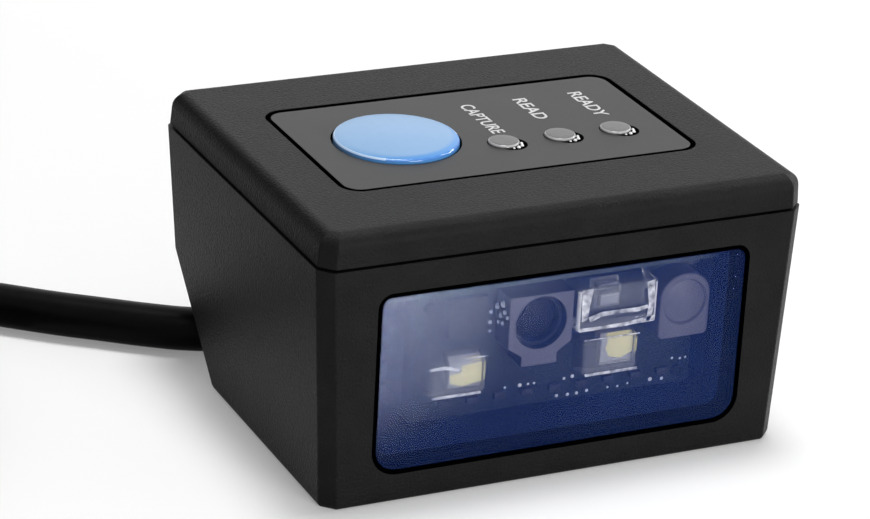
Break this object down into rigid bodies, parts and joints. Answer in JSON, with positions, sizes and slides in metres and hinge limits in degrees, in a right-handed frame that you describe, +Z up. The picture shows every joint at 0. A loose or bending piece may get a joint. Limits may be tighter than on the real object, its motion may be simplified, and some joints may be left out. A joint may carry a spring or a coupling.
{
  "type": "fixed barcode reader",
  "caption": "Small fixed barcode reader: charcoal moulded box with a blue tinted window, a panel with a push button and light guides, and a cable with a plug.",
  "frame": {"origin": "on the standing surface, under the middle of the housing", "axes": "+X to the reader's right seen from the front, the window faces -Y, +Z up"},
  "size_m": [0.1467, 0.0771, 0.0286],
  "materials": {
    "housing_plastic": "fine moulded grain",
    "seal_rubber": "matt",
    "screw_steel": "plated",
    "insert_brass": "turned",
    "window_tint": "polished, tinted blue",
    "overlay_film": "printed film, satin",
    "button_blue": "moulded, gloss",
    "light_guide": "translucent, polished",
    "circuit_board": "solder mask",
    "black_plastic": "moulded",
    "cream_plastic": "moulded",
    "switch_metal": "pressed",
    "wire_jacket": "extruded",
    "flat_flex": "film",
    "engine_plastic": "moulded",
    "clear_plastic": "moulded clear",
    "lens_glass": "coated",
    "phosphor": "LED phosphor",
    "led_white": "LED package",
    "chip_parts": "moulded and plated",
    "cable_jacket": "satin",
    "grip_rubber": "overmoulded, matt",
    "tie_strap": "woven",
    "plug_white": "moulded",
    "contact_gold": "plated"
  },
  "bodies": {
    "reader": {"lower_housing": "housing_plastic", "top_cover": "housing_plastic", "cover_seal": "seal_rubber", "cover_screws": "screw_steel", "mounting_inserts": "insert_brass", "front_window": "window_tint", "window_gasket": "seal_rubber", "panel_overlay": "overlay_film", "tact_switch": "switch_metal", "scan_light_pipe": "light_guide", "read_light_pipe": "light_guide", "power_light_pipe": "light_guide", "indicator_leds": "led_white", "main_board": "circuit_board", "board_screws": "screw_steel", "main_processor": "black_plastic", "buzzer": "black_plastic", "cable_header": "cream_plastic", "harness_plug": "cream_plastic", "harness_wires": "wire_jacket", "main_flex_socket": "cream_plastic", "flex_cable": "flat_flex", "engine_flex_socket": "cream_plastic", "engine_chassis": "black_plastic", "engine_board": "circuit_board", "engine_screws": "screw_steel", "engine_chips": "chip_parts", "camera_holder": "engine_plastic", "lens_barrel": "black_plastic", "lens_glass": "lens_glass", "image_sensor": "chip_parts", "left_illumination_lens": "clear_plastic", "right_illumination_lens": "clear_plastic", "illumination_leds": "phosphor", "aiming_lens": "clear_plastic", "aiming_led": "led_white", "presence_housing": "engine_plastic", "presence_lens": "engine_plastic", "cable_grommet": "grip_rubber", "cable": "cable_jacket", "cable_coil": "cable_jacket", "cable_tail": "cable_jacket", "cable_tie": "tie_strap", "plug_grip": "grip_rubber", "plug_shell": "screw_steel", "plug_tongue": "plug_white", "plug_contacts": "contact_gold"},
    "button": {"trigger_button": "button_blue", "switch_plunger": "black_plastic"}
  },
  "joints": [
    {"name": "trigger_press", "type": "slide", "parent": "reader", "child": "button", "axis": [0, 0, -1], "range_m": [0, 0.0005], "stiffness_N_per_m": 400, "springref_m": -0.0005}
  ]
}
